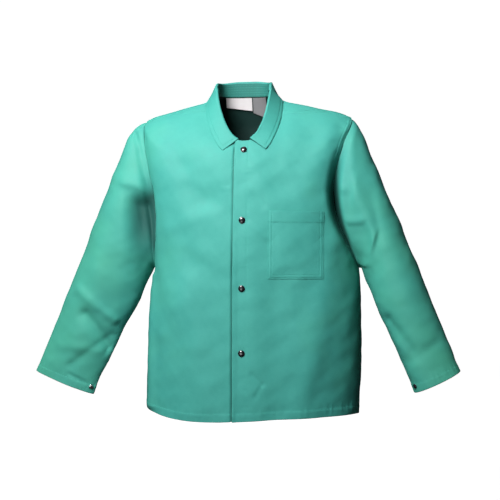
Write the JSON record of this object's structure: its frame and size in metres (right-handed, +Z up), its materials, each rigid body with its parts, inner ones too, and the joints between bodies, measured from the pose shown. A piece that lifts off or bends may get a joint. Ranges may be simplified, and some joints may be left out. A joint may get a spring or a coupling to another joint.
{
  "type": "welding coat",
  "caption": "Hip-length green cotton welding coat with a turn-down collar, snap front closing, set-in sleeves and a left breast pocket.",
  "frame": {"origin": "midway between the two neck points, where the shoulder seams meet the neck and the coat hangs on its wearer", "axes": "+X towards the wearer's left, +Y towards the wearer's back, so the front faces -Y, and +Z up"},
  "size_m": [0.9872, 0.2802, 0.7921],
  "materials": {
    "sateen": "woven cotton sateen, slight sheen",
    "white_label": "woven satin tape, bare",
    "grey_label": "printed satin tape, bare",
    "snap_cap": "glossy black enamel",
    "snap_metal": "nickel plated"
  },
  "bodies": {
    "root": {"back_panel": "sateen", "left_front": "sateen", "right_front": "sateen", "left_sleeve": "sateen", "right_sleeve": "sateen", "breast_pocket": "sateen", "collar": "sateen", "maker_label": "white_label", "care_label": "grey_label", "snap_cap_1": "snap_cap", "snap_stud_1": "snap_metal", "snap_cap_2": "snap_cap", "snap_stud_2": "snap_metal", "snap_cap_3": "snap_cap", "snap_stud_3": "snap_metal", "snap_cap_4": "snap_cap", "snap_stud_4": "snap_metal", "right_cuff_snap": "snap_metal", "left_cuff_snap": "snap_cap"}
  },
  "joints": []
}
